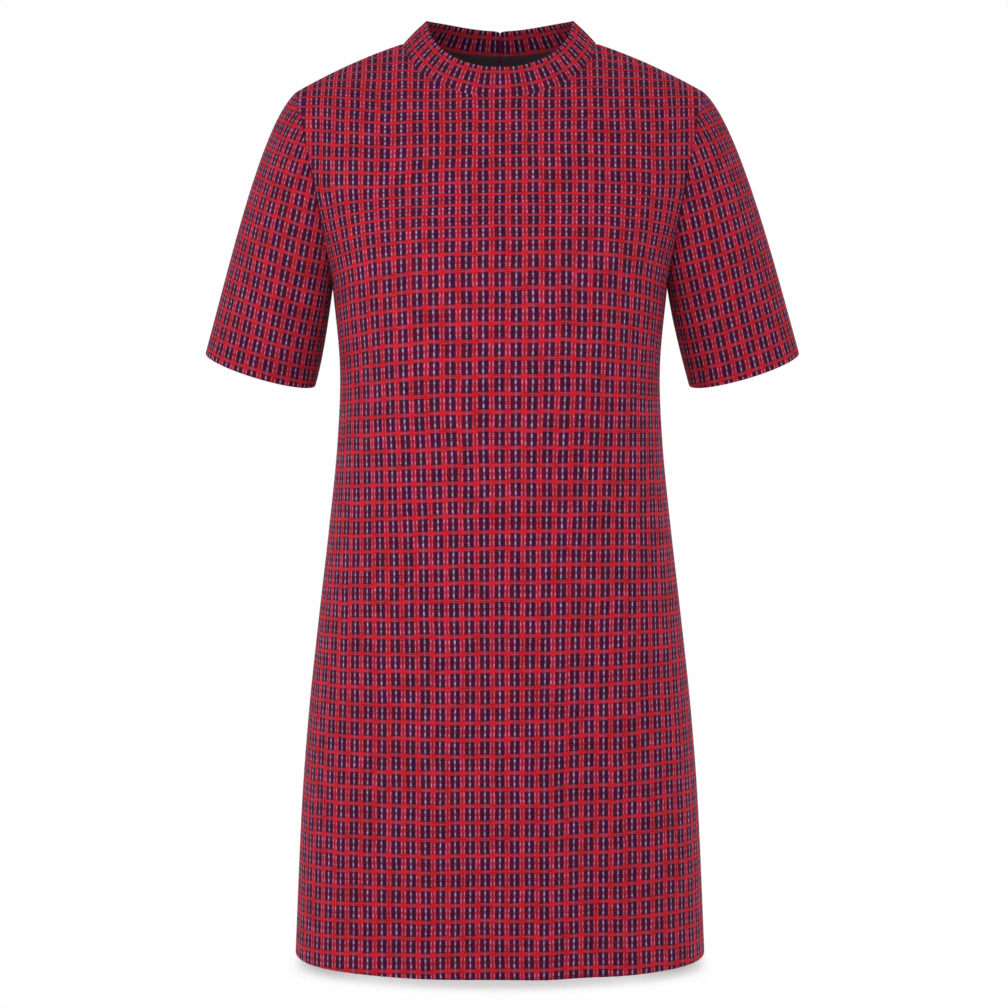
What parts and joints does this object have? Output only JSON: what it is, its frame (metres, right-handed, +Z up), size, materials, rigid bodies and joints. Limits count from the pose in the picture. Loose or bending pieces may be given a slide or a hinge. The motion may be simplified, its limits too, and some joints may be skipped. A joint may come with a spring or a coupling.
{
  "type": "shift dress",
  "caption": "Short shift dress in a small red, navy and pale woven check, with a plain stand collar, set-in short sleeves, a straight flared skirt and a centre-back zip.",
  "frame": {"origin": "midway between the two points where the shoulder seams meet the collar", "axes": "+Z up along the centre line of the body, -Y towards the front of the dress, +X towards the viewer's right when the front is seen"},
  "size_m": [0.559, 0.288, 0.873],
  "materials": {
    "check cloth": "matt woven jacquard in crimson, navy, purple and pale pink",
    "zip tape": "matt narrow woven tape",
    "zip metal": "satin enamel on die-cast metal"
  },
  "bodies": {
    "garment": {"front": "check cloth", "back_left": "check cloth", "back_right": "check cloth", "sleeve_left": "check cloth", "sleeve_right": "check cloth", "collar": "check cloth", "zip_tape_left": "zip tape", "zip_tape_right": "zip tape", "zip_slider": "zip metal"},
    "pull": {"zip_pull": "zip metal"}
  },
  "joints": [
    {"name": "pull_swing", "type": "hinge", "parent": "garment", "child": "pull", "pos_m": [0, 0.05127, 0.00499], "axis": [1, 0, 0], "range_deg": [0, 150]}
  ]
}
